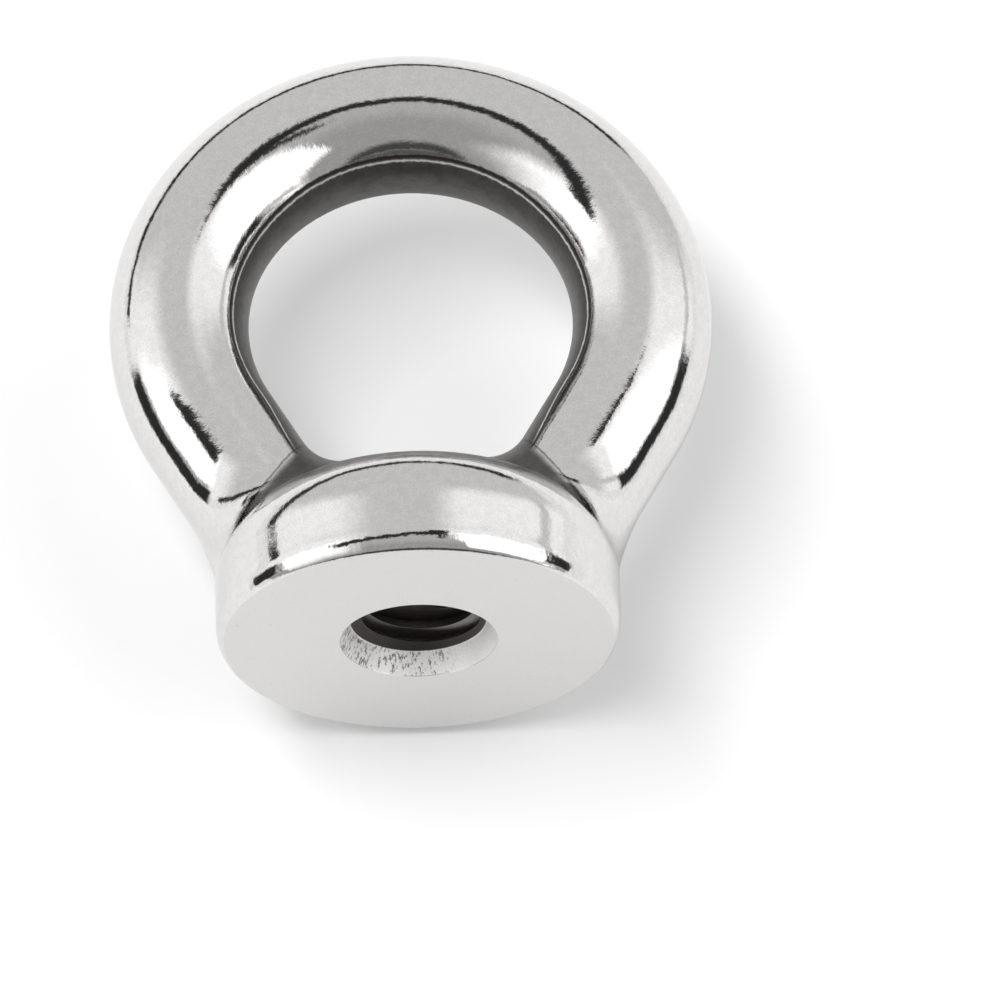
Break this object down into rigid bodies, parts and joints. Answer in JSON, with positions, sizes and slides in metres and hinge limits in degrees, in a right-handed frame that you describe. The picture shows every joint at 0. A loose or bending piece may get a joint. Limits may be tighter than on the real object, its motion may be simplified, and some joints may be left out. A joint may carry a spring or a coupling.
{
  "type": "lifting eye nut",
  "caption": "Forged stainless lifting eye nut: a round-section bow on straight leaning legs that run into a drum-shaped collar with a threaded through hole.",
  "frame": {"origin": "centre of the flat bearing face of the collar, on the thread's axis", "axes": "+Z along the thread's axis from the bearing face towards the eye, +Y along the axis of the eye, +X across the bow"},
  "size_m": [0.045, 0.0298, 0.049],
  "materials": {
    "eye_nut": "polished stainless steel"
  },
  "bodies": {
    "root": {"eye_nut": "eye_nut"}
  },
  "joints": []
}
